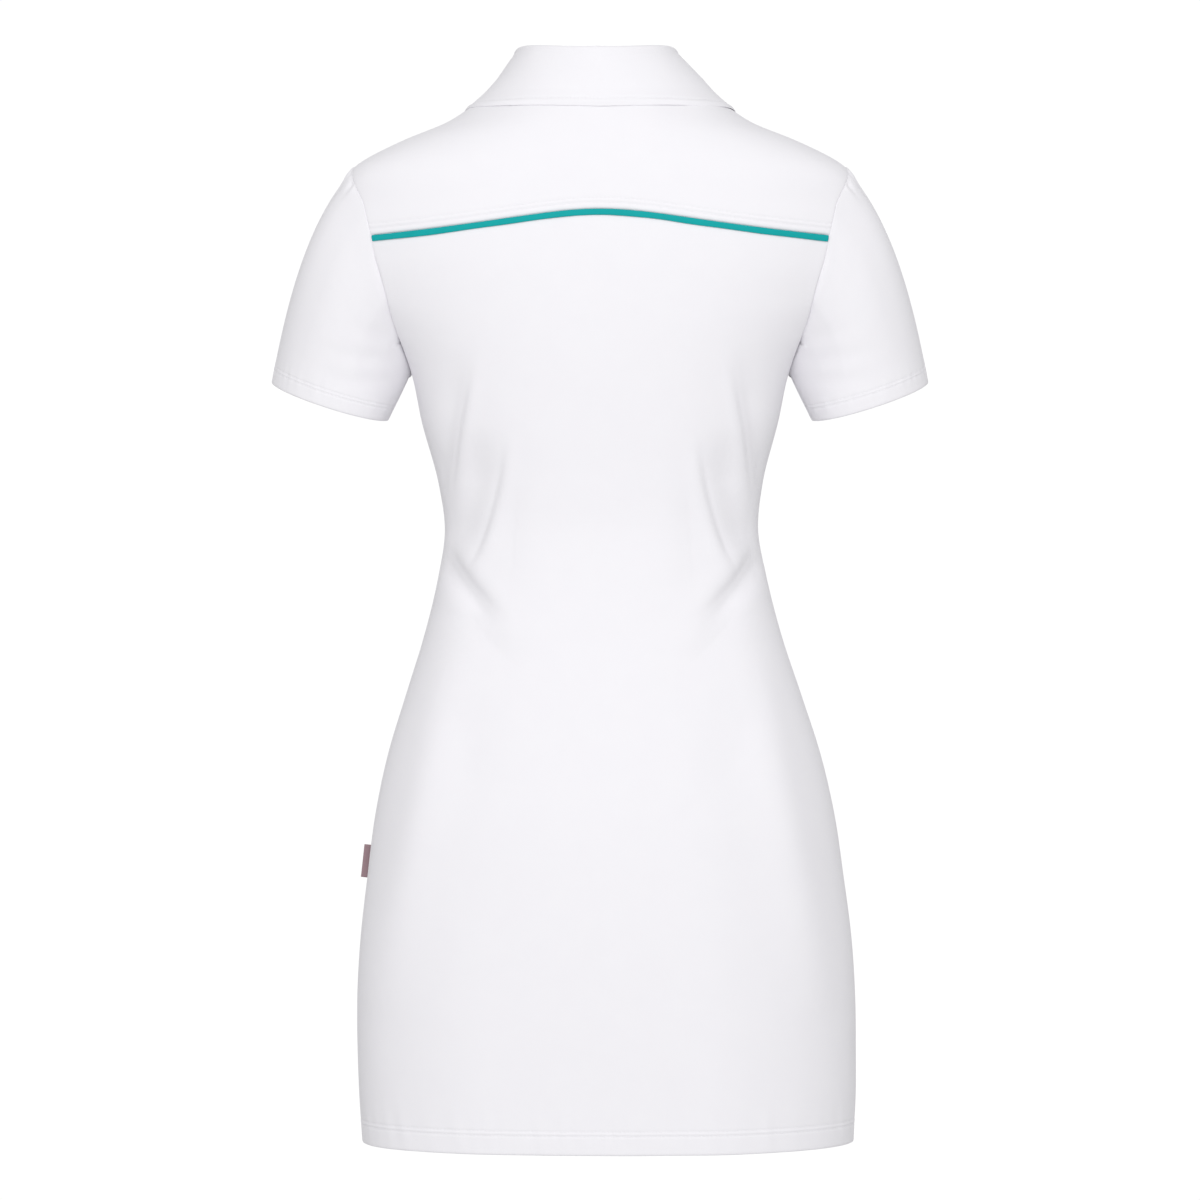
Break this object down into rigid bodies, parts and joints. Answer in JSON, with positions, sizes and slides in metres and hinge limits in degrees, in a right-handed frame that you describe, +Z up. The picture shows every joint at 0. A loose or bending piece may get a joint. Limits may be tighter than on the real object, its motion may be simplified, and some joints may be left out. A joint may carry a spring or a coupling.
{
  "type": "polo dress",
  "caption": "Short white polo dress with fold-over collar, button placket, short gathered sleeves and an arched back yoke with teal piping, standing open as worn.",
  "frame": {"origin": "middle of the neck opening, level with the inner ends of the shoulder seams, where the wearer's neck and shoulders hold the dress", "axes": "front faces -Y, wearer's left is +X, +Z up"},
  "size_m": [0.5264, 0.241, 0.8724],
  "materials": {
    "jersey": "fine white stretch knit, matte",
    "piping": "flat folded teal jersey strip, matte",
    "button": "white polyester button, soft gloss",
    "tab": "woven satin tab, mauve, bare"
  },
  "bodies": {
    "root": {"back_panel": "jersey", "back_yoke": "jersey", "front_panel": "jersey", "sleeve_left": "jersey", "sleeve_right": "jersey", "collar": "jersey", "placket_upper": "jersey", "placket_under": "jersey", "yoke_piping": "piping", "button_1": "button", "button_2": "button", "button_3": "button", "side_tab": "tab"}
  },
  "joints": []
}
